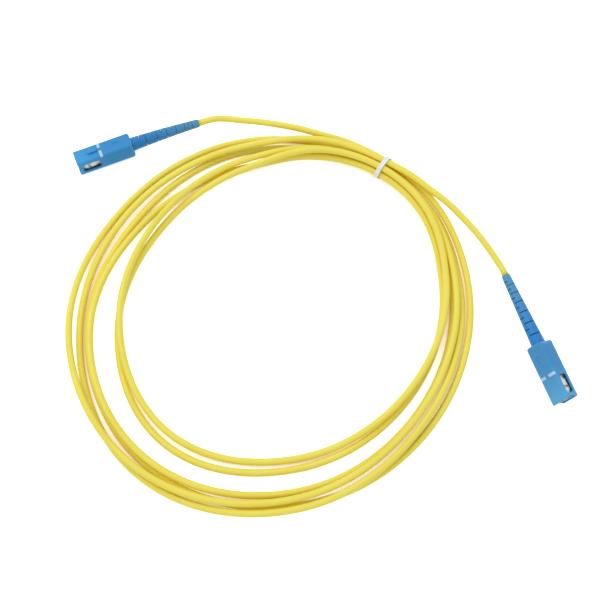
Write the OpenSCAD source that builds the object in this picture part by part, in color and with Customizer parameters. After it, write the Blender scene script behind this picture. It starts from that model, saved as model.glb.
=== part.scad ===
// Fiber optic patch cord: a coiled yellow simplex cable with a push-pull, square-bodied (SC)
// connector on each end. Millimetres, +Z up, lying on z = 0.

/* [Cable] */
// Outside diameter of the yellow jacket
cable_d = 2.8; // [2.4:0.1:3.4]
// Bore of the jacket
jacket_bore = 1.9; // [1.2:0.1:2]
// Diameter of the buffered fibre
fibre_d = 0.9; // [0.6:0.05:0.9]

/* [Grip housing] */
// Width across the two window walls
housing_w = 9; // [8.8:0.1:11]
// Height across the two wide faces
housing_h = 7.4; // [7.3:0.1:9]
// Length from front to back
housing_len = 25; // [24.5:0.5:30]
// Radius of the four long corners
corner_r = 1.5; // [0.8:0.1:1.8]
// Radius of the two front corners, seen from above
front_corner_r = 1.2; // [0.4:0.1:1.8]
// Radius of the two rear corners, seen from above
rear_corner_r = 2.4; // [0.5:0.1:3]
// Radius of the front edges of the wide faces
front_edge_r = 0.7; // [0.3:0.1:0.8]
// Radius of the rear edges of the wide faces
rear_edge_r = 1.2; // [0.3:0.1:2]
// Thickness of the two window walls
side_wall = 0.9; // [0.6:0.05:1]
// Thickness of the two wide walls
face_wall = 0.85; // [0.6:0.05:0.9]
// Length of each side window
window_len = 7.9; // [6:0.1:8.6]
// Height of each side window
window_h = 4; // [3:0.1:4.2]
// Distance from the front to the window
window_start = 2; // [1.5:0.1:3]
// Depth of the hollow in the front edge of the window walls
front_notch = 0.8; // [0.5:0.1:1.2]
// Backward travel of the housing on the plug frame
grip_travel = 1.8; // [1:0.1:2]

/* [Key and marks] */
// Width of the key rib
key_w = 2; // [1.6:0.1:2.2]
// Height of the key rib above its face
key_h = 0.8; // [0.6:0.1:1.2]
// Length of the key rib
key_len = 4.2; // [3:0.1:5]
// Distance from the front to the key rib
key_start = 5.7; // [4:0.1:6.5]
// Distance from the front to the white marks
mark_start = 10.4; // [10.2:0.1:13]
// Width of a white mark along the connector
mark_w = 1.3; // [1:0.1:2]
// Bare stretch between the two marks of a face
mark_gap = 1.8; // [1:0.1:3]
// How far the marks run out from the middle of the face, round the corner
mark_reach = 4.3; // [3.5:0.1:4.4]
// Depth of the marks' pockets
mark_depth = 0.25; // [0.15:0.05:0.3]

/* [Plug frame] */
// Length of the plug frame
frame_len = 18.2; // [17.6:0.1:18.4]
// Diameter of the front bore round the ferrule
front_bore_d = 4.7; // [4.5:0.1:4.8]
// Depth of the front bore
front_bore_len = 6.5; // [5.5:0.1:7]
// How far the latch wedges and blocks stand out of the frame's sides
latch_h = 0.6; // [0.4:0.1:0.7]

/* [Ferrule] */
// Diameter of the ceramic ferrule
ferrule_d = 2.5; // [2:0.05:2.6]
// How far the ferrule's tip and the frame lie inside the housing's front
front_inset = 0.5; // [0.3:0.1:1]
// Backward travel of the ferrule against its spring
ferrule_travel = 1.2; // [0.8:0.1:1.4]
// How far the metal flange stands out of the ferrule
flange_rim = 0.75; // [0.7:0.05:0.85]
// Diameter of the spring's wire
spring_wire_d = 0.4; // [0.3:0.05:0.45]
// Number of turns of the spring
spring_turns = 6; // [4:1:7]

/* [Crimp] */
// Diameter of the crimp neck
neck_d = 3.4; // [3:0.1:3.5]
// Length of the crimp neck
neck_len = 6; // [4.5:0.1:6.5]
// Thickness of the folded yarn
yarn_t = 0.18; // [0.1:0.02:0.3]
// Wall of the crimp sleeve
sleeve_wall = 0.38; // [0.3:0.02:0.4]

/* [Boot] */
// Length of the boot behind the housing
boot_len = 31.2; // [28:0.1:38]
// Diameter of the boot at the housing
boot_base_d = 5.8; // [5.7:0.1:6]
// Wall of the boot at its tip
boot_tip_wall = 0.27; // [0.2:0.01:0.6]
// Rows of slots along the boot
slot_rows = 12; // [8:1:13]
// Width of the first slot
slot_w = 0.35; // [0.25:0.05:0.6]
// Width of the last slot
slot_w_tip = 0.25; // [0.2:0.05:0.6]
// First slot, measured from the housing
slot_first = 3.8; // [3.4:0.1:5]
// Last slot, measured from the tip
slot_last = 2.9; // [1.5:0.1:4]
// Distance between the first two rows
slot_pitch = 2.7; // [2.4:0.05:2.8]
// How far a slot is cut past the boot's middle
slot_past = 0.5; // [0:0.1:0.8]

/* [Band] */
// Width of the band round the bundle
tie_w = 2; // [1.5:0.1:4]
// Thickness of the band
tie_t = 0.5; // [0.3:0.05:0.5]

/* [Hidden] */
$fn = 48;

// Clearances, each on one side
slide_gap = 0.1;      // frame in the housing
fit_gap = 0.02;       // parts pressed or crimped together
stop_gap = 0.1;       // left at the end of a travel
latch_gap = 0.2;      // latch wedges inside the window walls
run_gap = 0.15;       // spring round the ferrule's tail, flange and spring in the frame
boot_gap = 0.2;       // boot in the housing's rear opening
boot_cable_gap = 0.1;  // jacket in the boot
seat_gap = 0.05;      // flange on the frame's shoulder, spring on its seats
strand_gap = 0.5;     // between neighbouring turns of the cable
band_gap = 0.3;       // band round the bundle
eps = 0.01;           // cutters run past a face by this much

// Grip housing
cavity_w = housing_w - 2*side_wall;
cavity_h = housing_h - 2*face_wall;
rear_bore_d = boot_base_d + 2*boot_gap;
notch_h = 5;                                      // height of the hollow in the front edge
notch_r = (notch_h*notch_h/4 + front_notch*front_notch)/(2*front_notch);
window_corner_r = 1.2;
rib_h = 3;                                        // stop ribs on the window walls
rib_len = 1;
rib_z = -(window_start + window_len + 0.6);       // front face of the stop ribs
panel_len = 3.1;                                  // sunk panel on each wide face
panel_w = 1.5;
panel_depth = 0.15;
panel_z = -(housing_len - 6.7);

// Plug frame, from its front face back
frame_h = cavity_h - 2*slide_gap;
frame_w = cavity_w - 2*(latch_h + latch_gap);
frame_front = -front_inset;
frame_back = frame_front - frame_len;
frame_corner_r = 0.5;
shoulder_z = frame_front - front_bore_len;        // front face of the ferrule's shoulder
shoulder_len = 1.2;
shoulder_hole_d = ferrule_d + 0.3;
flange_d = ferrule_d + 2*flange_rim;
tail_tube_d = ferrule_d + 0.4;
spring_d = tail_tube_d + 2*run_gap + spring_wire_d; // of the wire's centre line
frame_bore_d = max(flange_d, spring_d + spring_wire_d) + 2*run_gap;
lug_w = cavity_w - 2*slide_gap;
lug_h = 3.4;
lug_z = rib_z - rib_len - grip_travel - stop_gap; // front face of the guide lugs
latch_front = -1.9;                               // wedge, from its thin end to its latch face
latch_top = -3.5;
latch_face = -(window_start + 2.3);
block_front = latch_face - 1.1;                   // block behind the latch face
block_top = block_front - 2;
block_back = block_front - 3.8;
latch_width = 2.2;
latch_slot_w = 0.9;                               // open slots on both sides of a latch
latch_slot_depth = 1.5;
latch_slot_front = latch_front - 0.4;

// Ferrule and flange
flange_z = shoulder_z - shoulder_len - seat_gap;
flange_len = 1.5;
ferrule_chamfer = 0.25;
ferrule_tail = 5.6;                               // tapering part behind the shoulder's face
ferrule_tail_d = ferrule_d - 0.2;
ferrule_end = shoulder_z - ferrule_tail;
tail_tube_end = ferrule_end - 2;
tail_bore_d = fibre_d + 0.3;
flange_notch_w = 0.7;

// Spring, stop ring and crimp
spring_z = flange_z - flange_len - seat_gap;      // front end of the spring
ring_front = -15.2;
ring_d = frame_bore_d - 2*fit_gap;
ring_pocket_d = tail_tube_d + 2*slide_gap;
ring_bore_d = 2;
ring_collar_d = 5.3;
ring_collar_z = frame_back - fit_gap;
ring_collar_len = 1;
neck_z = ring_collar_z - ring_collar_len;
neck_end = neck_z - neck_len;
fibre_front = ferrule_end - ferrule_travel - 0.2;
yarn_r = neck_d/2 + fit_gap;
sleeve_r = yarn_r + yarn_t + fit_gap;             // inside of the sleeve over the yarn
sleeve_z = neck_z - 0.2;
sleeve_step_z = neck_end - 0.2;
sleeve_end = sleeve_step_z - 1.8;

// Boot
boot_front = -(housing_len - 4);
boot_tip = -(housing_len + boot_len);
boot_tip_d = cable_d + 2*boot_cable_gap + 2*boot_tip_wall;
boot_tip_round = 0.12;
boot_bore_r = cable_d/2 + boot_cable_gap;
rear_bore_front = boot_front + grip_travel + 0.2; // where the round opening begins
slot_turn = 162;                                  // side from which the first slot is cut
slot_span = boot_len - slot_first - slot_last;
slot_step = (slot_pitch*(slot_rows - 1) - slot_span)/((slot_rows - 1)*(slot_rows - 2)/2);

// Where each end lies: [x, y] of the housing's front, heading of its back, and
// roll of the key face from straight up
END_A = [[-100.9, 42.3], 22.2, 16.5];
END_B = [[98.4, -61.9], 110.6, 241];

// Coil: the turns are told in lanes (0 = outermost, counted inwards) and layers
// (0 = on the table), station by station, clockwise from the band.
coil_centre = [-18.1, -22.8];
band_angle = 54;
band_past = 1.3;      // the band sits this many degrees past the first station
coil_r = 82.2;
lane = cable_d + strand_gap;
rings_per_turn = 24;
STATIONS = [0, 20, 45, 90, 135, 180, 225, 270, 315, 340];
// How far the outermost lane runs outside coil_r at each station
BULGE = [0, 1.2, 0, -2, -1.4, 2, -0.8, -4.6, -3.8, -1.4];
// One row for each turn: [lane, layer] at each station
TURNS = [
    [[0, 1.2], [0, 1.02], [-0.05, 0.45], [0, 0], [0.25, 0],
     [1.55, 0], [2.25, 0], [2.6, 0], [1.55, 0], [1.6, 0]],
    [[1.5, 0.35], [1.57, 0.08], [1.93, 0], [2.2, 0], [1.85, 0],
     [2.1, 1.05], [2.65, 1.1], [3.75, 0.35], [3.8, 0], [2.75, 0.7]],
    [[2.03, 1.2], [2.18, 1.02], [3.08, 0], [4.1, 0], [4.45, 0],
     [4.8, 0], [5.9, 0], [5.85, 0], [4.45, 1.05], [2.45, 2.1]],
    [[1.5, 2.05], [1.68, 1.98], [2.72, 1.15], [4.6, 1.05], [5.65, 0],
     [6.1, 0.3], [6.3, 1.1], [5.2, 1.15], [3.25, 1.1], [1.8, 1.25]],
    [[1.02, 1.2], [1.06, 1], [1.6, 1.03], [1.97, 1], [0.95, 1.05],
     [0.6, 1.05], [0.1, 1.05], [0.2, 0], [0, 0], [0.45, 0.05]],
    [[0.5, 0.35], [0.58, 0.08], [0.95, 0], [0.92, 0.9], [-0.25, 1],
     [0.1, 0], [1.2, 0], [1.3, 0.5], [1.35, 1.15], [0.75, 1.75]]
];
// The way in to the first turn and out of the last: [angle, lane, layer]
WAY_IN = [[-45, -3.15, 0.7], [-20, -0.6, 0.95]];
WAY_OUT = [[0, 0.5, 2.05], [10, 0.1, 2.35], [20, -0.6, 1.95], [45, -3.9, 1]];
coil_ends = 15;       // the coil's node runs this many degrees past the band at each end

// Free stretches, point by point: lead_a from boot a to the coil, lead_b from the coil to boot b
LEAD_A = [[-42.5, 64.9, 4.4], [-37.5, 64.8, 4.2], [-32, 64, 4.1], [-25, 63.3, 4],
          [-18, 62.2, 4], [-11.5, 60.9, 4.1], [-5, 59.3, 4.3], [1.5, 57.2, 4.5]];
LEAD_B = [[56, 22.3, 8], [62.5, 15.2, 7.5], [68.7, 7.4, 7], [73.9, -0.4, 6.1]];
lead_sides = 8;
coil_sides = 6;

// ---- sweeps ----

function unit(v) = v/norm(v);

// Direction of the path at its point i
function along(path, i) = unit(path[min(i + 1, len(path) - 1)] - path[max(i - 1, 0)]);

// A ring of points square to direction t round point p; up keeps the rings from twisting
function ring(p, t, r, sides, up) =
    let (side = unit(cross(up, t)), top = cross(t, side))
    [for (k = [0 : sides - 1]) let (a = 360*(k + 0.5)/sides) p + r*(cos(a)*side + sin(a)*top)];

// A closed round tube along a path
module sweep(path, r, sides, up = [0, 0, 1]) {
    rings = len(path);
    points = [for (i = [0 : rings - 1]) each ring(path[i], along(path, i), r, sides, up)];
    walls = [for (i = [0 : rings - 2], k = [0 : sides - 1])
        let (a = i*sides + k, b = i*sides + (k + 1) % sides)
        each [[a, a + sides, b], [b, a + sides, b + sides]]];
    first = [for (k = [1 : sides - 2]) [0, k, k + 1]];
    last = [for (k = [1 : sides - 2]) let (o = (rings - 1)*sides) [o, o + k + 1, o + k]];
    polyhedron(points = points, faces = concat(walls, first, last), convexity = 10);
}

// ---- route of the cable ----

function bulge_at(angle) = lookup(angle < 0 ? angle + 360 : angle,
    [for (i = [0 : len(STATIONS) - 1]) [STATIONS[i], BULGE[i]]]);
function spot(angle, bulge, place) =
    [angle, coil_r + bulge - place[0]*lane, cable_d/2 + place[1]*lane];

// Every station of the whole coil: [angle, radius, height]
ROUTE = concat(
    [for (s = WAY_IN) spot(s[0], bulge_at(s[0]), [s[1], s[2]])],
    [for (turn = [0 : len(TURNS) - 1], i = [0 : len(STATIONS) - 1])
        spot(360*turn + STATIONS[i], BULGE[i], TURNS[turn][i])],
    [for (s = WAY_OUT) spot(360*len(TURNS) + s[0], bulge_at(s[0]), [s[1], s[2]])]);

// Slope at a station, from its two neighbours
function slope(i, axis) =
    let (a = ROUTE[max(i - 1, 0)], b = ROUTE[min(i + 1, len(ROUTE) - 1)])
    (b[axis] - a[axis])/(b[0] - a[0]);

// Smooth value between stations i and i + 1
function between(i, axis, angle) =
    let (span = ROUTE[i + 1][0] - ROUTE[i][0], t = (angle - ROUTE[i][0])/span)
    ROUTE[i][axis]*(1 + 2*t)*(1 - t)*(1 - t) + slope(i, axis)*span*t*(1 - t)*(1 - t)
    + ROUTE[i + 1][axis]*t*t*(3 - 2*t) - slope(i + 1, axis)*span*t*t*(1 - t);

// Centre of the cable at an angle from the band
function coil_point(angle) =
    let (i = len([for (s = ROUTE) if (s[0] <= angle) 1]) - 1,
         r = between(i, 1, angle),
         z = max(between(i, 2, angle), cable_d/2),
         a = band_angle - angle)
    [coil_centre[0] + r*cos(a), coil_centre[1] + r*sin(a), z];

// A ring of the coil falls in the middle of the band
coil_from = band_past - coil_ends;
COIL = [for (angle = [coil_from : 360/rings_per_turn : 360*len(TURNS) + band_past + coil_ends])
    coil_point(angle)];

// Least gap between turns, on the rings and halfway between them
COIL_FINE = [for (i = [0 : len(COIL) - 2]) each [COIL[i], (COIL[i] + COIL[i + 1])/2]];
coil_gap = min([for (i = [0 : len(COIL_FINE) - rings_per_turn - 1])
    min([for (j = [i + rings_per_turn : len(COIL_FINE) - 1]) norm(COIL_FINE[i] - COIL_FINE[j])])])
    - cable_d;
echo(str("Least gap between turns of the coil: ", coil_gap, " mm"));

// Axis height of an end that lies on its lowest long corner
function end_height(end) =
    (housing_w/2 - corner_r)*abs(sin(end[2])) + (housing_h/2 - corner_r)*abs(cos(end[2])) + corner_r;
// Point on an end's axis, z measured forward from the housing's front
function on_axis(end, z) =
    [end[0][0] - z*cos(end[1]), end[0][1] - z*sin(end[1]), end_height(end)];

function lead_a_path() =
    let (dir = unit(COIL[1] - COIL[0]))
    concat([on_axis(END_A, boot_tip), on_axis(END_A, boot_tip - cable_d)],
           LEAD_A, [COIL[0] - dir*cable_d, COIL[0]]);
function lead_b_path() =
    let (n = len(COIL) - 1, dir = unit(COIL[n] - COIL[n - 1]))
    concat([COIL[n], COIL[n] + dir*cable_d],
           LEAD_B, [on_axis(END_B, boot_tip - cable_d), on_axis(END_B, boot_tip)]);

// ---- parts of an end: axis +Z forward, front of the housing at z = 0, key on +Y ----

module place(end) {
    translate(on_axis(end, 0)) rotate([0, 0, end[1]]) rotate([0, -90, 0])
        rotate([0, 0, end[2] - 90]) children();
}

module rounded_rect(w, h, r) {
    square([w - 2*r, h], center = true);
    square([w, h - 2*r], center = true);
    for (x = [-1, 1], y = [-1, 1]) translate([x*(w/2 - r), y*(h/2 - r)]) circle(r);
}

// A ring or disc between two depths; profile is [radius, z] pairs
module turned(profile) {
    rotate_extrude($fn = 64) polygon(profile);
}

module tube(outer_r, inner_r, front, back) {
    turned([[inner_r, back], [outer_r, back], [outer_r, front], [inner_r, front]]);
}

// Outline of the housing seen from one side, with round front and rear corners
module housing_outline(half, front_r, rear_r) {
    polygon([[-half, -front_r], [-half + front_r, 0], [half - front_r, 0], [half, -front_r],
             [half, -housing_len + rear_r], [half - rear_r, -housing_len],
             [-half + rear_r, -housing_len], [-half, -housing_len + rear_r]]);
    for (x = [-1, 1]) {
        translate([x*(half - front_r), -front_r]) circle(front_r);
        translate([x*(half - rear_r), -housing_len + rear_r]) circle(rear_r);
    }
}

module housing_body() {
    intersection() {
        translate([0, 0, -housing_len]) linear_extrude(housing_len)
            rounded_rect(housing_w, housing_h, corner_r);
        rotate([90, 0, 0]) linear_extrude(2*housing_h, center = true)
            housing_outline(housing_w/2, front_corner_r, rear_corner_r);
        rotate([90, 0, 90]) linear_extrude(2*housing_w, center = true)
            housing_outline(housing_h/2, front_edge_r, rear_edge_r);
    }
}

// The square cavity, narrowed by the two stop ribs
module cavity() {
    difference() {
        translate([-cavity_w/2, -cavity_h/2, rear_bore_front])
            cube([cavity_w, cavity_h, -rear_bore_front + eps]);
        for (side = [-1, 1])
            translate([side*(frame_w/2 + slide_gap + cavity_w/2), 0, rib_z - rib_len/2])
                cube([cavity_w, rib_h, rib_len], center = true);
    }
}

module side_window() {
    translate([0, 0, -(window_start + window_len/2)]) rotate([0, 90, 0])
        linear_extrude(2*housing_w, center = true)
            rounded_rect(window_len, window_h, window_corner_r);
}

// The marks are strips of the housing's skin; shrink takes them smaller than their pockets,
// and past makes the pockets break the surface
module marks(shrink, past) {
    inset = mark_depth - shrink;
    reach = mark_reach - mark_gap/2 - 2*shrink;
    intersection() {
        translate([0, 0, -(mark_start + mark_w) + shrink]) linear_extrude(mark_w - 2*shrink)
            difference() {
                rounded_rect(housing_w + 2*past, housing_h + 2*past, corner_r + past);
                rounded_rect(housing_w - 2*inset, housing_h - 2*inset, corner_r - inset);
            }
        union() {
            for (x = [-1, 1], y = [-1, 1])
                translate([x*(mark_gap/2 + shrink + reach/2), y*housing_h/2, -mark_start])
                    cube([reach, housing_h/2, 2*mark_w + 1], center = true);
        }
    }
}

// Small sunk panel on the rear of each wide face
module panels() {
    for (face = [0, 180]) rotate([0, 0, face])
        translate([0, housing_h/2 - panel_depth, panel_z]) rotate([-90, 0, 0])
            linear_extrude(1) rounded_rect(panel_w, panel_len, 0.5);
}

module grip_housing() {
    color("#1c6fc4") difference() {
        union() {
            housing_body();
            translate([0, housing_h/2 - face_wall/2, -(key_start + key_len/2)])
                rotate([-90, 0, 0]) linear_extrude(key_h + face_wall/2)
                    rounded_rect(key_w, key_len, 0.4);
        }
        cavity();
        side_window();
        translate([0, 0, notch_r - front_notch]) rotate([0, 90, 0])
            cylinder(h = 2*housing_w, r = notch_r, center = true, $fn = 96);
        translate([0, 0, -housing_len - eps])
            cylinder(h = housing_len + rear_bore_front + 2*eps, d = rear_bore_d);
        marks(0, eps);
        panels();
    }
}

module index_marks() {
    color("#f2f2ee") marks(fit_gap, 0);
}

// On each side of the frame a wedge rises to its latch face; a block behind it slopes away
module latch() {
    translate([frame_w/2 - eps, latch_width/2, 0]) rotate([90, 0, 0])
        linear_extrude(latch_width) {
            polygon([[0, latch_front], [latch_h, latch_top], [latch_h, latch_face],
                     [0, latch_face]]);
            polygon([[0, block_front], [latch_h, block_front], [latch_h, block_top],
                     [0, block_back]]);
        }
}

module plug_frame() {
    color("#f4f4f0") difference() {
        union() {
            translate([0, 0, frame_back]) linear_extrude(frame_len)
                rounded_rect(frame_w, frame_h, frame_corner_r);
            for (turn = [0, 180]) rotate([0, 0, turn]) latch();
            translate([-lug_w/2, -lug_h/2, frame_back]) cube([lug_w, lug_h, lug_z - frame_back]);
        }
        for (turn = [0, 180]) rotate([0, 0, turn]) for (side = [-1, 1])
            translate([frame_w/2 - latch_slot_depth,
                       side*(latch_width + latch_slot_w)/2 - latch_slot_w/2, block_back])
                cube([frame_w, latch_slot_w, latch_slot_front - block_back]);
        translate([0, 0, shoulder_z]) cylinder(h = front_bore_len + eps, d = front_bore_d);
        translate([0, 0, shoulder_z - shoulder_len - eps])
            cylinder(h = shoulder_len + 2*eps, d = shoulder_hole_d);
        translate([0, 0, frame_back - eps])
            cylinder(h = shoulder_z - shoulder_len - frame_back + eps, d = frame_bore_d);
    }
}

module ferrule() {
    r = ferrule_d/2;
    tip = frame_front;
    color("#f7f5ee") turned([
        [0, ferrule_end], [ferrule_tail_d/2, ferrule_end], [r, shoulder_z],
        [r, tip - ferrule_chamfer], [r - ferrule_chamfer, tip - 0.06], [0.4, tip], [0, tip]]);
}

module ferrule_flange() {
    color("#c9cbcd") difference() {
        turned([
            [tail_bore_d/2, tail_tube_end], [tail_tube_d/2, tail_tube_end],
            [tail_tube_d/2, flange_z - flange_len], [flange_d/2, flange_z - flange_len],
            [flange_d/2, flange_z], [flange_bore(flange_z), flange_z],
            [flange_bore(ferrule_end), ferrule_end - fit_gap],
            [tail_bore_d/2, ferrule_end - fit_gap]]);
        for (turn = [0, 90, 180, 270]) rotate([0, 0, turn])
            translate([flange_d/2 - 0.3, -flange_notch_w/2, flange_z - flange_len - eps])
                cube([1, flange_notch_w, flange_len + 2*eps]);
    }
}
// Radius of the flange's bore round the tapering ferrule
function flange_bore(z) = ferrule_tail_d/2 + fit_gap
    + (ferrule_d - ferrule_tail_d)/2*(z - ferrule_end)/(shoulder_z - ferrule_end);

// Spring between the flange and the stop ring
function spring_path() =
    let (back = ring_front + seat_gap + spring_wire_d/2, front = spring_z - spring_wire_d/2)
    [for (i = [0 : 8*spring_turns]) let (a = 45*i)
        [spring_d/2*cos(a), spring_d/2*sin(a), back + (front - back)*i/(8*spring_turns)]];

module ferrule_spring() {
    color("#a9acb0") sweep(spring_path(), spring_wire_d/2, 6);
}

module stop_ring() {
    color("#b9bcc0") turned([
        [ring_bore_d/2, neck_end], [neck_d/2, neck_end], [neck_d/2, neck_z],
        [ring_collar_d/2, neck_z], [ring_collar_d/2, ring_collar_z], [ring_d/2, ring_collar_z],
        [ring_d/2, ring_front], [ring_pocket_d/2, ring_front],
        [ring_pocket_d/2, tail_tube_end - ferrule_travel - stop_gap],
        [ring_bore_d/2, tail_tube_end - ferrule_travel - stop_gap]]);
}

module aramid_yarn() {
    color("#e3c64f") tube(yarn_r + yarn_t, yarn_r, sleeve_z - 0.1, neck_end + 0.2);
}

module crimp_sleeve() {
    grip_r = cable_d/2 + fit_gap;
    color("#b5b8bb") turned([
        [sleeve_r, sleeve_z], [sleeve_r, sleeve_step_z], [grip_r, sleeve_step_z],
        [grip_r, sleeve_end], [grip_r + sleeve_wall, sleeve_end],
        [grip_r + sleeve_wall, sleeve_step_z - 0.5], [sleeve_r + sleeve_wall, sleeve_step_z],
        [sleeve_r + sleeve_wall, sleeve_z]]);
}

// Distance of a slot row from the housing
function slot_s(i) = slot_first + i*slot_pitch - slot_step*i*(i - 1)/2;

// A slot cut in from one side, which leaves the rest of the round as a spine
module boot_slot(i) {
    width = slot_w + (slot_w_tip - slot_w)*i/(slot_rows - 1);
    translate([boot_base_d/2 - slot_past, 0, 0])
        cube([boot_base_d, 2*boot_base_d, width], center = true);
}

module boot() {
    base_r = boot_base_d/2;
    tip_r = boot_tip_d/2;
    seat_r = sleeve_r + sleeve_wall + 0.05;
    grip_r = cable_d/2 + fit_gap + sleeve_wall + 0.05;
    color("#1866b8") difference() {
        turned([
            [boot_bore_r, boot_tip], [tip_r - boot_tip_round, boot_tip],
            [tip_r, boot_tip + boot_tip_round], [base_r, -housing_len],
            [base_r, boot_front], [seat_r, boot_front], [seat_r, sleeve_step_z - 0.1],
            [grip_r, sleeve_step_z - 0.6], [grip_r, sleeve_end - 0.1],
            [boot_bore_r, sleeve_end - 0.1]]);
        for (i = [0 : slot_rows - 1])
            translate([0, 0, -housing_len - slot_s(i)]) rotate([0, 0, slot_turn + 180*(i % 2)])
                boot_slot(i);
    }
}

module cable_end() {
    color("#e8c51c") tube(cable_d/2, jacket_bore/2, sleeve_step_z - 0.05, boot_tip);
}

module buffered_fibre() {
    color("#f1efe6") tube(fibre_d/2, 0.06, fibre_front, boot_tip);
}

// ---- the cord ----

module lead_a() {
    color("#e8c51c") sweep(lead_a_path(), cable_d/2, lead_sides);
}

module coil() {
    color("#e8c51c") sweep(COIL, cable_d/2, coil_sides);
}

module lead_b() {
    color("#e8c51c") sweep(lead_b_path(), cable_d/2, lead_sides);
}

// Centres of the seven strands under the band, as [radius, height]
function bundle() = [for (turn = [0 : len(TURNS)])
    let (p = coil_point(360*turn + band_past)) [norm([p[0], p[1]] - coil_centre), p[2]]];

module bundle_outline(extra) {
    hull() for (c = bundle()) translate(c) circle(cable_d/2 + extra, $fn = 32);
}

// The band, with its welded tail under the bundle
module tie() {
    tail_t = 0.2;
    tail_len = 1.6*lane;
    low = min([for (c = bundle()) c[1]]) - cable_d/2 - band_gap - tie_t;
    middle = bundle()[1][0]/2 + bundle()[5][0]/2;
    color("#f3f3ef") translate([coil_centre[0], coil_centre[1], 0]) rotate([0, 0, band_angle - band_past])
        rotate([90, 0, 0]) linear_extrude(tie_w, center = true) {
            difference() {
                bundle_outline(band_gap + tie_t);
                bundle_outline(band_gap);
            }
            translate([middle - tail_len/2, low - tail_t]) square([tail_len, tail_t + tie_t/2]);
        }
}

place(END_A) grip_housing();  // grip_housing_a
place(END_A) index_marks();  // index_marks_a
place(END_A) plug_frame();  // plug_frame_a
place(END_A) ferrule();  // ferrule_a
place(END_A) ferrule_flange();  // ferrule_flange_a
place(END_A) ferrule_spring();  // ferrule_spring_a
place(END_A) stop_ring();  // stop_ring_a
place(END_A) aramid_yarn();  // aramid_yarn_a
place(END_A) crimp_sleeve();  // crimp_sleeve_a
place(END_A) boot();  // boot_a
place(END_A) cable_end();  // cable_end_a
place(END_A) buffered_fibre();  // buffered_fibre_a
place(END_B) grip_housing();  // grip_housing_b
place(END_B) index_marks();  // index_marks_b
place(END_B) plug_frame();  // plug_frame_b
place(END_B) ferrule();  // ferrule_b
place(END_B) ferrule_flange();  // ferrule_flange_b
place(END_B) ferrule_spring();  // ferrule_spring_b
place(END_B) stop_ring();  // stop_ring_b
place(END_B) aramid_yarn();  // aramid_yarn_b
place(END_B) crimp_sleeve();  // crimp_sleeve_b
place(END_B) boot();  // boot_b
place(END_B) cable_end();  // cable_end_b
place(END_B) buffered_fibre();  // buffered_fibre_b
lead_a();
coil();
lead_b();
tie();
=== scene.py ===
import math

import bpy
from mathutils import Matrix, Vector


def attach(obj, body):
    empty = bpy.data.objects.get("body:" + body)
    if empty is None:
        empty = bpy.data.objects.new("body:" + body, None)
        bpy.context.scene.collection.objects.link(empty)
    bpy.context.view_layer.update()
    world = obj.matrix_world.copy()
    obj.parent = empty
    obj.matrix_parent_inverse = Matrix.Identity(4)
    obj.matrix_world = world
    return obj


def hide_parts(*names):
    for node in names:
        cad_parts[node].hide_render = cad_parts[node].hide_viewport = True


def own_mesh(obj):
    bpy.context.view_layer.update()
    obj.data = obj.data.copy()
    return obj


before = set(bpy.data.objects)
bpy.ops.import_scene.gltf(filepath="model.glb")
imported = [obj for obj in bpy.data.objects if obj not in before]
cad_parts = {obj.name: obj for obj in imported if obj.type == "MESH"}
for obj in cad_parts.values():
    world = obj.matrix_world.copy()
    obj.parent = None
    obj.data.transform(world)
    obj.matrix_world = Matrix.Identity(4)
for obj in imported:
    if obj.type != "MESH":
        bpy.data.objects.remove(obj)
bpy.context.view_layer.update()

MM = 0.001

# ---- camera: the photograph's place, height and lens ----

AIM = Vector((-5.5, -18, 0)) * MM
CAMERA_ELEVATION = math.radians(70)
CAMERA_DISTANCE = 411 * MM
CAMERA_LENS = 60
SENSOR_WIDTH = 36
NEAREST_SEEN = 0.01
FARTHEST_SEEN = 10

camera = bpy.data.objects.new("camera", bpy.data.cameras.new("camera"))
bpy.context.scene.collection.objects.link(camera)
camera.data.lens = CAMERA_LENS
camera.data.sensor_width = SENSOR_WIDTH
camera.data.clip_start = NEAREST_SEEN
camera.data.clip_end = FARTHEST_SEEN
camera.location = AIM + CAMERA_DISTANCE * Vector(
    (0, -math.cos(CAMERA_ELEVATION), math.sin(CAMERA_ELEVATION)))
camera.rotation_euler = (math.radians(90) - CAMERA_ELEVATION, 0, 0)
bpy.context.scene.camera = camera

# ---- route of the cable, in millimetres, as in the CAD ----

CABLE_D = 2.8
LANE = 3.3  # from strand to strand, beside and above each other
HOUSING_W = 9.0
HOUSING_H = 7.4
HOUSING_LEN = 25.0
CORNER_R = 1.5
BOOT_LEN = 31.2
# Each end: [x, y] of the housing's front, heading of its back, roll of the key face
END_A = ((-100.9, 42.3), 22.2, 16.5)
END_B = ((98.4, -61.9), 110.6, 241)

# The coil winds clockwise, seen from above. Angles along it are in degrees from where its
# first turn starts, which is BAND_ANGLE from +X
COIL_CENTRE = (-18.1, -22.8)
BAND_ANGLE = 54
BAND_PAST = 1.3  # the band's middle
COIL_R = 82.2
COIL_ENDS = 15  # from the band's middle back to the coil's start, and on to its end
# Angles within a turn, and how far the coil's outline bulges from its circle there
STATIONS = [0, 20, 45, 90, 135, 180, 225, 270, 315, 340]
BULGE = [0, 1.2, 0, -2, -1.4, 2, -0.8, -4.6, -3.8, -1.4]
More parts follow.
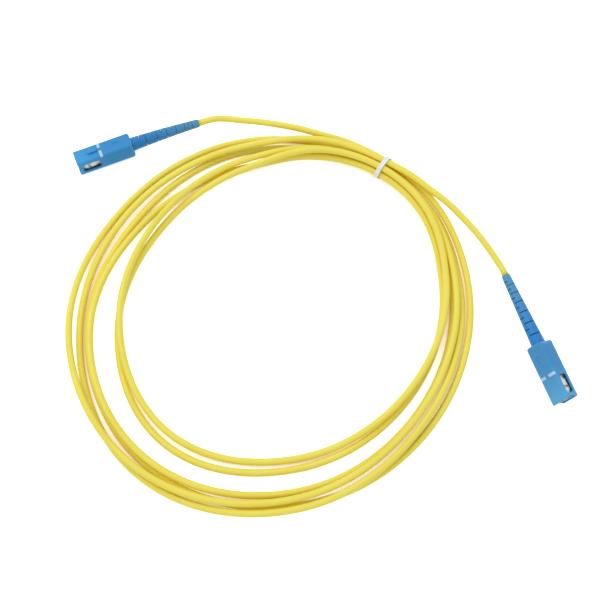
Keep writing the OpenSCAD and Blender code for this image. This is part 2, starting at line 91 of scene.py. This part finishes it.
# For each turn and station: [lanes inward from the outline, layers above the lowest]
TURNS = [
    [[0, 1.2], [0, 1.02], [-0.05, 0.45], [0, 0], [0.25, 0],
     [1.55, 0], [2.25, 0], [2.6, 0], [1.55, 0], [1.6, 0]],
    [[1.5, 0.35], [1.57, 0.08], [1.93, 0], [2.2, 0], [1.85, 0],
     [2.1, 1.05], [2.65, 1.1], [3.75, 0.35], [3.8, 0], [2.75, 0.7]],
    [[2.03, 1.2], [2.18, 1.02], [3.08, 0], [4.1, 0], [4.45, 0],
     [4.8, 0], [5.9, 0], [5.85, 0], [4.45, 1.05], [2.45, 2.1]],
    [[1.5, 2.05], [1.68, 1.98], [2.72, 1.15], [4.6, 1.05], [5.65, 0],
     [6.1, 0.3], [6.3, 1.1], [5.2, 1.15], [3.25, 1.1], [1.8, 1.25]],
    [[1.02, 1.2], [1.06, 1], [1.6, 1.03], [1.97, 1], [0.95, 1.05],
     [0.6, 1.05], [0.1, 1.05], [0.2, 0], [0, 0], [0.45, 0.05]],
    [[0.5, 0.35], [0.58, 0.08], [0.95, 0], [0.92, 0.9], [-0.25, 1],
     [0.1, 0], [1.2, 0], [1.3, 0.5], [1.35, 1.15], [0.75, 1.75]],
]
# Before the first turn and after the last: [angle, lanes inward, layers up]
WAY_IN = [[-45, -3.15, 0.7], [-20, -0.6, 0.95]]
WAY_OUT = [[0, 0.5, 2.05], [10, 0.1, 2.35], [20, -0.6, 1.95], [45, -3.9, 1]]
# The free stretches from boot a to the coil and from the coil to boot b: [x, y, z]
LEAD_A = [[-42.5, 64.9, 4.4], [-37.5, 64.8, 4.2], [-32, 64, 4.1], [-25, 63.3, 4], [-18, 62.2, 4],
          [-11.5, 60.9, 4.1], [-5, 59.3, 4.3], [1.5, 57.2, 4.5]]
LEAD_B = [[56, 22.3, 8], [62.5, 15.2, 7.5], [68.7, 7.4, 7], [73.9, -0.4, 6.1]]


def bulge_at(angle):
    """The bulge at any angle, from the stations before and after it."""
    angle %= 360
    i = max(k for k, station in enumerate(STATIONS) if station <= angle)
    ahead, bulge = (STATIONS + [360])[i + 1], (BULGE + BULGE[:1])[i + 1]
    return BULGE[i] + (bulge - BULGE[i]) * (angle - STATIONS[i]) / (ahead - STATIONS[i])


def spot(angle, bulge, lane, layer):
    """A point of ROUTE: (angle, radius, height)."""
    return (angle, COIL_R + bulge - lane * LANE, CABLE_D / 2 + layer * LANE)


ROUTE = [spot(a, bulge_at(a), lane, layer) for a, lane, layer in WAY_IN]
ROUTE += [spot(360 * n + a, b, *place) for n, turn in enumerate(TURNS)
          for a, b, place in zip(STATIONS, BULGE, turn)]
ROUTE += [spot(360 * len(TURNS) + a, bulge_at(a), lane, layer) for a, lane, layer in WAY_OUT]


def slope(i, axis):
    """How fast the radius (axis 1) or the height (axis 2) changes by angle at a point of ROUTE."""
    a, b = ROUTE[max(i - 1, 0)], ROUTE[min(i + 1, len(ROUTE) - 1)]
    return (b[axis] - a[axis]) / (b[0] - a[0])


def hermite(p, q, leave, arrive, t):
    """Smoothly from p to q as t goes from 0 to 1. leave and arrive are the slopes by t there."""
    return (p * (1 + 2 * t) * (1 - t) ** 2 + leave * t * (1 - t) ** 2
            + q * t * t * (3 - 2 * t) - arrive * t * t * (1 - t))


def coil_point(angle):
    i = max(k for k, s in enumerate(ROUTE) if s[0] <= angle)
    span = ROUTE[i + 1][0] - ROUTE[i][0]
    t = (angle - ROUTE[i][0]) / span
    r, z = (hermite(ROUTE[i][axis], ROUTE[i + 1][axis],
                    slope(i, axis) * span, slope(i + 1, axis) * span, t) for axis in (1, 2))
    a = math.radians(BAND_ANGLE - angle)
    return Vector((COIL_CENTRE[0] + r * math.cos(a), COIL_CENTRE[1] + r * math.sin(a),
                   max(z, CABLE_D / 2)))


def end_height(end):
    """Height of an end's axis, with its rolled housing on the surface."""
    roll = math.radians(end[2])
    return ((HOUSING_W / 2 - CORNER_R) * abs(math.sin(roll))
            + (HOUSING_H / 2 - CORNER_R) * abs(math.cos(roll)) + CORNER_R)


def on_axis(end, z):
    """The point of an end's axis at z, which is 0 at the housing's front and negative behind it."""
    heading = math.radians(end[1])
    return Vector((end[0][0] - z * math.cos(heading), end[0][1] - z * math.sin(heading),
                   end_height(end)))


def placement(end):
    """From an end's own axes (front at 0, +Z forward, key on +Y) to the row frame, in metres."""
    return (Matrix.Translation(on_axis(end, 0) * MM)
            @ Matrix.Rotation(math.radians(end[1]), 4, "Z")
            @ Matrix.Rotation(math.radians(-90), 4, "Y")
            @ Matrix.Rotation(math.radians(end[2] - 90), 4, "Z"))


# Boot a bends aside under its cable, and the bend shortens it
BEND = math.radians(4)
BENT_LEN = 30.0
HEADING_A = math.radians(END_A[1])
AHEAD_A = Vector((math.cos(HEADING_A), math.sin(HEADING_A), 0))
LEFT_A = Vector((-AHEAD_A.y, AHEAD_A.x, 0))


def on_bend(s, aside=0.0, above=0.0):
    """A point s millimetres behind the housing of end a, along its bent boot."""
    turn = BEND * s / BENT_LEN
    radius = BENT_LEN / BEND
    return (on_axis(END_A, -HOUSING_LEN) + AHEAD_A * radius * math.sin(turn)
            - LEFT_A * radius * (1 - math.cos(turn))
            + aside * (LEFT_A * math.cos(turn) + AHEAD_A * math.sin(turn)) + Vector((0, 0, above)))


def through(points, step):
    """A smooth line through points, with points about step apart."""
    out = []
    for i in range(len(points) - 1):
        p0 = points[i - 1] if i else 2 * points[0] - points[1]
        p1, p2 = points[i], points[i + 1]
        p3 = points[i + 2] if i + 2 < len(points) else 2 * p2 - p1
        gap = (p2 - p1).length
        m1 = (p2 - p0) * gap / ((p1 - p0).length + gap)
        m2 = (p3 - p1) * gap / ((p3 - p2).length + gap)
        n = max(1, round(gap / step))
        for k in range(n):
            out.append(hermite(p1, p2, m1, m2, k / n))
    return out + [points[-1]]


BOOT_TIP = -(HOUSING_LEN + BOOT_LEN)
# The bent boot draws the points of its lead aside by as many millimetres
LEAD_A_DROPS = [0.6, 0.4, 0.2, 0.1, 0, 0, 0, 0]
COIL_STEP = 6  # degrees
CABLE_STEP = 2.2
CABLE_SIDES = 16
knots = [on_bend(BENT_LEN), on_bend(BENT_LEN + CABLE_D)]
knots += [Vector(p) - Vector((0, drop, 0)) for p, drop in zip(LEAD_A, LEAD_A_DROPS)]
knots += [coil_point(BAND_PAST + a)
          for a in range(-COIL_ENDS, 360 * len(TURNS) + COIL_ENDS + 1, COIL_STEP)]
knots += [Vector(p) for p in LEAD_B]
knots += [on_axis(END_B, BOOT_TIP - CABLE_D), on_axis(END_B, BOOT_TIP)]
cable_line = [p * MM for p in through(knots, CABLE_STEP)]
CABLE_LENGTH = sum((b - a).length for a, b in zip(cable_line, cable_line[1:]))

# ---- meshes ----


def new_object(name, verts, faces, uvs=None):
    """A smooth-shaded mesh in the scene. uvs has one pair for each corner of each face."""
    mesh = bpy.data.meshes.new(name)
    mesh.from_pydata([tuple(v) for v in verts], [], faces)
    if uvs is not None:
        layer = mesh.uv_layers.new(name="along")
        layer.data.foreach_set("uv", [c for uv in uvs for c in uv])
    mesh.validate()
    mesh.update()
    mesh.polygons.foreach_set("use_smooth", [True] * len(mesh.polygons))
    obj = bpy.data.objects.new(name, mesh)
    bpy.context.scene.collection.objects.link(obj)
    return obj


def tube(name, line, radius, sides):
    """A closed round tube along line. Its UV map is (metres along, metres round)."""
    n = len(line)
    tangents = [(line[min(i + 1, n - 1)] - line[max(i - 1, 0)]).normalized() for i in range(n)]
    side = Vector((0, 0, 1)).cross(tangents[0]).normalized()
    verts, length = [], [0.0]
    for i, (p, t) in enumerate(zip(line, tangents)):
        side = (side - side.dot(t) * t).normalized()
        top = t.cross(side)
        verts += [p + radius * (math.cos(a) * side + math.sin(a) * top)
                  for a in (2 * math.pi * (k + 0.5) / sides for k in range(sides))]
        if i:
            length.append(length[-1] + (p - line[i - 1]).length)
    faces, uvs = [], []
    round_step = 2 * math.pi * radius / sides
    for i in range(n - 1):
        for k in range(sides):
            a, b = i * sides + k, i * sides + (k + 1) % sides
            faces.append((a, b, b + sides, a + sides))
            uvs += [(length[i], k * round_step), (length[i], (k + 1) * round_step),
                    (length[i + 1], (k + 1) * round_step), (length[i + 1], k * round_step)]
    faces.append(tuple(range(sides - 1, -1, -1)))
    uvs += [(length[0], 0)] * sides
    faces.append(tuple((n - 1) * sides + k for k in range(sides)))
    uvs += [(length[-1], 0)] * sides
    return new_object(name, verts, faces, uvs)


cable = tube("cable", cable_line, CABLE_D / 2 * MM, CABLE_SIDES)
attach(cable, "cord")
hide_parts("lead_a", "coil", "lead_b")

# The boot's slots: the first's middle from the housing, the last's from the tip, the first
# pitch, and by how much each pitch is shorter than the one before
SLOT_ROWS = 12
SLOT_W = 0.35
SLOT_FIRST = 3.8
SLOT_LAST = 2.9
SLOT_PITCH = 2.7
SLOT_STEP = ((SLOT_PITCH * (SLOT_ROWS - 1) - (BOOT_LEN - SLOT_FIRST - SLOT_LAST))
             / ((SLOT_ROWS - 1) * (SLOT_ROWS - 2) / 2))
SLOT_MIDDLES = [SLOT_FIRST + i * SLOT_PITCH - SLOT_STEP * i * (i - 1) / 2 for i in range(SLOT_ROWS)]
SLOT_LEFT_OPEN = 0.6  # share of a slot's width that the bend leaves


def bent_copy(node):
    """A copy of a CAD solid of end a, with what lies behind the housing bent as the boot is."""
    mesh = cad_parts[node].data.copy()
    start = on_axis(END_A, -HOUSING_LEN)
    for v in mesh.vertices:
        out = v.co / MM - start
        s = out.dot(AHEAD_A)
        near = min(SLOT_MIDDLES, key=lambda middle: abs(middle - s))
        if node == "boot_a" and abs(s - near) < SLOT_W:
            s = near + (s - near) * SLOT_LEFT_OPEN
        s *= BENT_LEN / BOOT_LEN
        if s > 0:
            v.co = on_bend(s, out.dot(LEFT_A), out.z) * MM
    obj = bpy.data.objects.new(node + "_bent", mesh)
    bpy.context.scene.collection.objects.link(obj)
    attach(obj, "cord")
    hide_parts(node)
    return obj


BAND_GAP = 0.3
BAND_STEPS = 144
STRAND_SIDES = 72
# Section across the band, 2 mm wide and 0.5 thick: (from its middle, above its inner face)
BAND_SECTION = [(-1.0, 0.0), (-1.0, 0.34), (-0.93, 0.45), (-0.8, 0.5), (-0.46, 0.49),
                (-0.3, 0.42), (0.0, 0.39), (0.3, 0.42), (0.46, 0.49), (0.8, 0.5),
                (0.93, 0.45), (1.0, 0.34), (1.0, 0.0)]


def hull(points):
    """The convex outline of flat points, anticlockwise."""
    points = sorted(points)
    sides = []
    for run in (points, points[::-1]):
        side = []
        for p in run:
            while len(side) > 1 and ((side[-1][0] - side[-2][0]) * (p[1] - side[-2][1])
                                     <= (side[-1][1] - side[-2][1]) * (p[0] - side[-2][0])):
                side.pop()
            side.append(p)
        sides += side[:-1]
    return sides


def band_mesh(name):
    """The band: its grooved section swept round the seven strands that pass through it."""
    angle = math.radians(BAND_ANGLE - BAND_PAST)
    out = Vector((math.cos(angle), math.sin(angle), 0))
    along = Vector((-out.y, out.x, 0))
    middle = Vector((COIL_CENTRE[0], COIL_CENTRE[1], 0))
    strands = [coil_point(360 * n + BAND_PAST) - middle for n in range(len(TURNS) + 1)]
    reach = CABLE_D / 2 + BAND_GAP
    turns = [math.tau * k / STRAND_SIDES for k in range(STRAND_SIDES)]
    ring = hull([(p.dot(out) + reach * math.cos(a), p.z + reach * math.sin(a))
                 for p in strands for a in turns])
    spans = [math.dist(a, b) for a, b in zip(ring, ring[1:] + ring[:1])]
    total = sum(spans)
    verts, faces = [], []
    rows = len(BAND_SECTION)
    for i in range(BAND_STEPS):
        rest, k = total * i / BAND_STEPS, 0
        while rest > spans[k]:
            rest -= spans[k]
            k += 1
        a, b = ring[k], ring[(k + 1) % len(ring)]
        t = rest / spans[k]
        r, z = a[0] + (b[0] - a[0]) * t, a[1] + (b[1] - a[1]) * t
        normal = Vector((b[1] - a[1], a[0] - b[0])).normalized()
        for w, h in BAND_SECTION:
            verts.append((middle + out * (r + normal.x * h) + along * w
                          + Vector((0, 0, z + normal.y * h))) * MM)
        for j in range(rows):
            p, q = i * rows + j, i * rows + (j + 1) % rows
            ahead = rows if i < BAND_STEPS - 1 else -rows * (BAND_STEPS - 1)
            faces.append((p, p + ahead, q + ahead, q))
    return new_object(name, verts, faces)


SPRING_WIRE = 0.4 * MM
SPRING_SIDES = 10
SPRING_TURNS = 6
TURN_STEPS = 24


def spring(mark, end):
    """The ferrule's spring as round wire, wound through the length of the CAD spring."""
    node = f"ferrule_spring_{mark}"
    out = placement(end)
    spots = [out.inverted() @ v.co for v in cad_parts[node].data.vertices]
    radius = max(math.hypot(p.x, p.y) for p in spots) - SPRING_WIRE / 2
    back, front = min(p.z for p in spots), max(p.z for p in spots)
    count = TURN_STEPS * SPRING_TURNS
    line = []
    for i in range(count + 1):
        a = math.tau * SPRING_TURNS * i / count
        rise = back + SPRING_WIRE / 2 + (front - back - SPRING_WIRE) * i / count
        line.append(out @ Vector((radius * math.cos(a), radius * math.sin(a), rise)))
    made = tube(f"spring_{mark}", line, SPRING_WIRE / 2, SPRING_SIDES)
    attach(made, "cord")
    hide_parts(node)
    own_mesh(made)
    return made


# Pieces of scene.py's own that stand for a node: {(node, end): piece}
own = {(node, "a"): bent_copy(f"{node}_a") for node, slot in (
    ("boot", "blue_boot"), ("cable_end", "yellow_jacket"), ("buffered_fibre", "fibre_buffer"))}
own["ferrule_spring", "a"] = spring("a", END_A)
own["ferrule_spring", "b"] = spring("b", END_B)

band = band_mesh("band")
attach(band, "cord")
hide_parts("tie")

on_bend(BENT_LEN) * MM

# ---- materials ----

SKY_SAMPLES = 8
NOISE_MIDDLE = (0.3, 0.7)
# Painted highlight on a plastic's rounded edges: the cosines between the rounded surface and the
# true one where it starts and where it is full, and how much of the lighter colour it takes there
EDGE_RADIUS = 0.2 * MM
EDGE_SAMPLES = 4
EDGE_HIGHLIGHT_ENDS = (0.96, 0.75)
EDGE_HIGHLIGHT_SHARE = 0.2
# The jacket's grain along the cable's UV map, and in space on the ends that have no map
MAP_GRAIN, SPACE_GRAIN = (60, 2400, 2400), (1500, 1500, 1500)
# From the middle of the tip: just outside and just inside a fibre 0.125 mm thick
FIBRE_ENDS = (0.07 * MM, 0.06 * MM)


def add_node(tree, kind, inputs=None, **settings):
    """A new shader node. Each input is a value or the socket that feeds it."""
    made = tree.nodes.new("ShaderNode" + kind)
    for key, value in settings.items():
        setattr(made, key, value)
    for key, value in (inputs or {}).items():
        if isinstance(value, bpy.types.NodeSocket):
            tree.links.new(value, made.inputs[key])
        else:
            made.inputs[key].default_value = value
    return made


def spread(tree, value, ends, low=0.0, high=1.0):
    """low where value is at the first of ends, high where it is at the second."""
    return add_node(tree, "MapRange", {"Value": value, "From Min": ends[0], "From Max": ends[1],
                                       "To Min": low, "To Max": high}).outputs[0]


def ramp(tree, value, ends, colours):
    """The first colour up to the first of ends, the second from the second on."""
    made = add_node(tree, "ValToRGB", {"Fac": value})
    for mark, at, colour in zip(made.color_ramp.elements, ends, colours):
        mark.position, mark.color = at, (*colour, 1)
    return made.outputs["Color"]


class Look:
    """A material whose nodes are made one by one."""

    def __init__(self, name, **sockets):
        self.material = bpy.data.materials.new(name)
        self.material.use_nodes = True
        self.tree = self.material.node_tree
        self.shader = self.tree.nodes["Principled BSDF"]
        for socket, value in sockets.items():
            self.shader.inputs[socket.replace("_", " ")].default_value = value

    def node(self, kind, inputs=None, **settings):
        return add_node(self.tree, kind, inputs, **settings)

    def put(self, socket, value):
        """Feeds a socket of the shader."""
        self.tree.links.new(value, self.shader.inputs[socket])

    def place(self, end=None):
        """Coordinates in metres, in the row frame or along an end's own axes."""
        where = self.node("TexCoord").outputs["Object"]
        if end is None:
            return where
        m = placement(end)
        return self.node("Mapping", {"Vector": where, "Location": m.to_translation(),
                                     "Rotation": m.to_euler()}, vector_type="TEXTURE").outputs[0]

    def noise(self, vector, scale, detail):
        return self.node("TexNoise", {"Vector": vector, "Scale": scale, "Detail": detail,
                                      "Roughness": 0.5}).outputs["Fac"]

    def grain(self, vector, scales, detail):
        """Noise with a scale of its own along each axis."""
        drawn = self.node("Mapping", {"Vector": vector, "Scale": scales}).outputs[0]
        return self.noise(drawn, 1.0, detail)

    def tones(self, noise, one, other):
        """Two colours blended over the middle of a noise's range."""
        return ramp(self.tree, noise, NOISE_MIDDLE, (one, other))

    def spread(self, value, ends, low=0.0, high=1.0):
        return spread(self.tree, value, ends, low, high)

    def span(self, noise, low, high):
        """Values from low to high over the whole of a noise's range."""
        return self.spread(noise, (0, 1), low, high)

    def mix(self, fac, a, b):
        """a where fac is 0, b where it is 1. Each is a colour or a socket."""
        a, b = (c if isinstance(c, bpy.types.NodeSocket) else (*c, 1) for c in (a, b))
        return self.node("Mix", {0: fac, 6: a, 7: b}, data_type="RGBA").outputs[2]

    def painted_shade(self, base, shade, reach, dark, clear):
        """Painted shade: base where the share of sky that is open within reach is over clear, shade
        under dark.
        """
        sky = self.node("AmbientOcclusion", {"Distance": reach}, samples=SKY_SAMPLES).outputs["AO"]
        return self.mix(self.spread(sky, (dark, clear), 1.0, 0.0), base, shade)

    def bump(self, height, depth, below=None):
        """Normals of a relief as deep as depth, on those of below or of the surface."""
        inputs = {"Height": height, "Distance": depth, "Strength": 1.0}
        if below is not None:
            inputs["Normal"] = below
        return self.node("Bump", inputs).outputs[0]


def linear(r, g, b):
    """A screen colour, 0 to 255, as the light values that shaders take."""
    return tuple((c / 255 / 12.92) if c / 255 <= 0.04045 else ((c / 255 + 0.055) / 1.055) ** 2.4
                 for c in (r, g, b))


def jacket_look(name, from_uv, painted_shade):
    """Extruded PVC: slow clouds of tint and a fine grain, which a UV map draws out."""
    look = Look(name, IOR=1.5, Specular_IOR_Level=0.3)
    where = look.node("UVMap", uv_map="along").outputs[0] if from_uv else look.place()
    lines = look.grain(where, MAP_GRAIN if from_uv else SPACE_GRAIN, detail=3)
    cloud = look.noise(look.place(), scale=45, detail=2)
    tint = look.tones(cloud, linear(237, 222, 86), linear(242, 230, 100))
    base = look.mix(look.span(lines, 0, 0.3), tint, linear(230, 212, 72))
    # Painted shade where other surfaces hide the sky
    look.put("Base Color", look.painted_shade(base, *painted_shade))
    look.put("Roughness", look.span(lines, 0.36, 0.5))
    look.put("Normal", look.bump(lines, 0.02 * MM, look.bump(cloud, 0.2 * MM)))
    return look.material


def plastic_look(name, end, colour, deep, rough, fade=None, painted_shade=None):
    """Moulded plastic: a fine grain, a slow flow of colour and softly rounded edges with a lighter,
    painted highlight.

    fade is (colour, z where it starts, z where it is full) along the end's axis, in metres.
    The last argument holds the painted shade in hollows: what Look's shade method takes after its
    base.
    """
    look = Look(name, IOR=1.49, Specular_IOR_Level=0.3)
    where = look.place(end)
    flow = look.grain(where, (260, 260, 90), detail=3)
    fine = look.noise(where, scale=4500, detail=2)
    rounded = look.node("Bevel", {"Radius": EDGE_RADIUS}, samples=EDGE_SAMPLES)
    true = look.node("NewGeometry").outputs["Normal"]
    facing = look.node("VectorMath", {0: rounded.outputs[0], 1: true}, operation="DOT_PRODUCT")
    edge_highlight = look.spread(facing.outputs["Value"], EDGE_HIGHLIGHT_ENDS, high=EDGE_HIGHLIGHT_SHARE)
    base = look.mix(flow, deep, colour)
    if fade:
        along = look.node("SeparateXYZ", {"Vector": where}).outputs["Z"]
        base = look.mix(look.spread(along, fade[1:]), base, fade[0])
    # Painted highlight: a lighter colour along the rounded edges
    base = look.mix(edge_highlight, base, [min(1, c * 1.5 + 0.04) for c in colour])
    # Painted shade where other surfaces hide the sky
    if painted_shade:
        base = look.painted_shade(base, *painted_shade)
    look.put("Base Color", base)
    look.put("Roughness", look.span(fine, rough - 0.06, rough + 0.08))
    look.put("Normal", look.bump(fine, 0.012 * MM, rounded.outputs[0]))
    return look.material


def metal_look(name, end, grey, rough):
    """Turned or drawn metal, with fine rings round the end's axis."""
    look = Look(name, Metallic=1.0)
    rings = look.grain(look.place(end), (40, 40, 9000), detail=3)
    look.put("Base Color", look.mix(look.span(rings, 0, 0.5), grey, [c * 0.75 for c in grey]))
    look.put("Roughness", look.span(rings, rough - 0.08, rough + 0.12))
    look.put("Normal", look.bump(rings, 0.008 * MM))
    return look.material


def yarn_look(name, end):
    """Aramid yarn, with its strands along the end's axis."""
    look = Look(name, Roughness=0.7)
    strands = look.grain(look.place(end), (9000, 9000, 300), detail=2)
    look.put("Base Color", look.tones(strands, linear(178, 140, 40), linear(232, 200, 100)))
    look.put("Normal", look.bump(strands, 0.06 * MM))
    return look.material


def band_look(name):
    """Cloudy white film with a slightly uneven surface."""
    look = Look(name, Roughness=0.45)
    cloud = look.noise(look.place(), scale=700, detail=3)
    look.put("Base Color", look.tones(cloud, linear(226, 226, 228), linear(244, 243, 242)))
    look.put("Normal", look.bump(cloud, 0.04 * MM))
    return look.material


def ceramic_look(name, end):
    """Polished zirconia, with the fibre's dark end in the middle of the tip."""
    look = Look(name, IOR=2.1)
    where = look.place(end)
    cloud = look.noise(where, scale=900, detail=2)
    white = look.tones(cloud, linear(240, 238, 228), linear(248, 247, 240))
    flat = look.node("VectorMath", {0: where, 1: (1, 1, 0)}, operation="MULTIPLY").outputs[0]
    off = look.node("VectorMath", {0: flat}, operation="LENGTH").outputs["Value"]
    look.put("Base Color", look.mix(look.spread(off, FIBRE_ENDS), white, linear(60, 62, 66)))
    look.put("Roughness", look.span(look.noise(where, scale=5000, detail=2), 0.08, 0.16))
    return look.material


# The photo's light differs on the two ends, so each has its own blues
BLUE = {"a": linear(48, 142, 203), "b": linear(66, 148, 204)}
BLUE_DEEP = {"a": linear(38, 130, 194), "b": linear(54, 136, 194)}
# Lighter blue toward each housing's front: painted light
BLUE_LIT_FRONT = {"a": linear(56, 154, 214), "b": linear(84, 166, 214)}
BOOT_BLUE = {"a": linear(38, 128, 198), "b": linear(42, 136, 208)}
BOOT_DEEP = {"a": linear(28, 114, 184), "b": linear(30, 122, 196)}
BOOT_TIP_BLUE = {"a": linear(78, 144, 182), "b": linear(84, 150, 194)}
# Painted bounce light: blue from the housing on the front of the white plug frame
FRAME_BLUE_BOUNCE = linear(136, 182, 220)
# Painted shade in the housings' windows and recesses, in the boots' slots and on the cable ends
# inside
SHADE = linear(14, 34, 66)
# Painted shade: near black in the gaps beside the plug frame's latch
GAP_SHADE = linear(16, 20, 30)
# Painted shade and bounce light between the strands: a deeper yellow on the jacket
JACKET_WARM_SHADE = linear(255, 226, 44)

# Fades along an end's axis, the housing's and the frame's painted light: (z where it starts, z where
# it is full)
HOUSING_FADE = (-14 * MM, -2 * MM)
FRAME_FADE = (-2.4 * MM, -1 * MM)
BOOT_FADE = (-30 * MM, -55 * MM)
# Painted shade in hollows, as Look's shade method takes it: (shade, reach, dark, clear)
CABLE_PAINTED_SHADE = (JACKET_WARM_SHADE, 4 * MM, 0.1, 0.75)
CABLE_END_PAINTED_SHADE = (SHADE, 2 * MM, 0.3, 0.9)
HOUSING_PAINTED_SHADE = (SHADE, 2 * MM, 0.15, 0.52)
FRAME_PAINTED_SHADE = (GAP_SHADE, 1.4 * MM, 0.36, 0.68)
BOOT_PAINTED_SHADE = (SHADE, 0.6 * MM, 0.35, 0.8)

cable.data.materials.append(jacket_look("cable_jacket", from_uv=True, painted_shade=CABLE_PAINTED_SHADE))

for mark, end in (("a", END_A), ("b", END_B)):
    looks = {
        "grip_housing": plastic_look(f"housing_{mark}", end, BLUE[mark], BLUE_DEEP[mark], rough=0.36,
                                     fade=(BLUE_LIT_FRONT[mark], *HOUSING_FADE), painted_shade=HOUSING_PAINTED_SHADE),
        "index_marks": plastic_look(f"marks_{mark}", end, linear(184, 214, 238),
                                    linear(164, 202, 232), rough=0.5),
        "plug_frame": plastic_look(f"frame_{mark}", end, linear(246, 246, 245),
                                   linear(232, 233, 235), rough=0.35,
                                   fade=(FRAME_BLUE_BOUNCE, *FRAME_FADE), painted_shade=FRAME_PAINTED_SHADE),
        "ferrule": ceramic_look(f"zirconia_{mark}", end),
        "ferrule_flange": metal_look(f"flange_{mark}", end, grey=(0.62, 0.62, 0.63), rough=0.3),
        "stop_ring": metal_look(f"ring_{mark}", end, grey=(0.55, 0.55, 0.57), rough=0.32),
        "crimp_sleeve": metal_look(f"sleeve_{mark}", end, grey=(0.5, 0.5, 0.52), rough=0.38),
        "aramid_yarn": yarn_look(f"yarn_{mark}", end),
        "boot": plastic_look(f"boot_{mark}", end, BOOT_BLUE[mark], BOOT_DEEP[mark], rough=0.44,
                             fade=(BOOT_TIP_BLUE[mark], *BOOT_FADE), painted_shade=BOOT_PAINTED_SHADE),
        "cable_end": jacket_look(f"jacket_{mark}", from_uv=False, painted_shade=CABLE_END_PAINTED_SHADE),
        "buffered_fibre": plastic_look(f"buffer_{mark}", end, linear(238, 236, 226),
                                       linear(226, 223, 212), rough=0.4),
        "ferrule_spring": metal_look(f"spring_{mark}", end, grey=(0.45, 0.45, 0.47), rough=0.3),
    }
    for node, made in looks.items():
        shown = [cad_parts[f"{node}_{mark}"]]
        if (node, mark) in own:
            shown.append(own[node, mark])
        for obj in shown:
            obj.data.materials.clear()
            obj.data.materials.append(made)

band.data.materials.append(band_look("band"))

# ---- floor, light and background ----

FLOOR_REACH = 1.0
FLOOR_Z = -0.08 * MM
LIT_PAPER = (0.8, 0.8, 0.8)
PAPER_GLOW = (0.9, 0.9, 0.9)
COOL_SHADE = (0.6, 0.62, 0.66)
WARM_SHADE = (0.42, 0.27, 0.1)
SHADE_REACH = 5 * MM
# Shares of open sky where the paper is in full shade and where it is clear of it
SHADE_ENDS = (0.3, 0.6)
# Distances from the coil's centre where the shade starts to be warm and where it is
WARM_ENDS = (91 * MM, 87 * MM)
# The white world's strength for the light that falls on the object, and for what is seen of it
SKY_LIGHT, SKY_SEEN = 0.78, 1.0


def seen_directly(tree):
    """1 for the camera's rays and for reflections, 0 for the light that falls on the object."""
    ray = add_node(tree, "LightPath").outputs
    return add_node(tree, "Math", {0: ray["Is Camera Ray"], 1: ray["Is Glossy Ray"]},
                    operation="MAXIMUM").outputs[0]


def paper_look():
    """White paper that glows for the eye, and less so close to the pieces."""
    paper = bpy.data.materials.new("floor")
    paper.use_nodes = True
    tree = paper.node_tree
    tree.nodes.clear()
    open_sky = add_node(tree, "AmbientOcclusion", {"Distance": SHADE_REACH},
                        samples=SKY_SAMPLES).outputs["AO"]
    # Narrow gaps between strands take the warm light that the jackets throw on the paper
    middle = (*(c * MM for c in COIL_CENTRE), 0)
    away = add_node(tree, "VectorMath", {0: add_node(tree, "NewGeometry").outputs["Position"],
                                         1: middle}, operation="DISTANCE").outputs["Value"]
    cool, warm = (ramp(tree, open_sky, SHADE_ENDS, (shade, PAPER_GLOW))
                  for shade in (COOL_SHADE, WARM_SHADE))
    glow = add_node(tree, "MixRGB", {"Fac": spread(tree, away, WARM_ENDS), "Color1": cool,
                                     "Color2": warm}).outputs[0]
    lit = add_node(tree, "BsdfDiffuse", {"Color": (*LIT_PAPER, 1)}).outputs[0]
    shine = add_node(tree, "Emission", {"Strength": seen_directly(tree), "Color": glow}).outputs[0]
    both = add_node(tree, "AddShader", {0: lit, 1: shine}).outputs[0]
    add_node(tree, "OutputMaterial", {"Surface": both})
    return paper


floor = new_object("floor", [(x * FLOOR_REACH, y * FLOOR_REACH, FLOOR_Z)
                             for x, y in ((-1, -1), (1, -1), (1, 1), (-1, 1))], [(0, 1, 2, 3)])
floor.data.materials.append(paper_look())

world = bpy.data.worlds.new("studio")
bpy.context.scene.world = world
world.use_nodes = True
studio = world.node_tree
sky = studio.nodes["Background"]
sky.inputs["Color"].default_value = (1, 1, 1, 1)
studio.links.new(spread(studio, seen_directly(studio), (0, 1), SKY_LIGHT, SKY_SEEN),
                 sky.inputs["Strength"])


def softbox(name, place, aim, size, power):
    light = bpy.data.objects.new(name, bpy.data.lights.new(name, "AREA"))
    bpy.context.scene.collection.objects.link(light)
    light.data.size = size
    light.data.energy = power
    light.location = place
    light.rotation_euler = (Vector(aim) - Vector(place)).to_track_quat("-Z", "Y").to_euler()


softbox("key", place=(-0.35, 0.3, 0.75), aim=(0, -0.02, 0), size=0.7, power=2.3)

bpy.context.scene.view_settings.view_transform = "Standard"
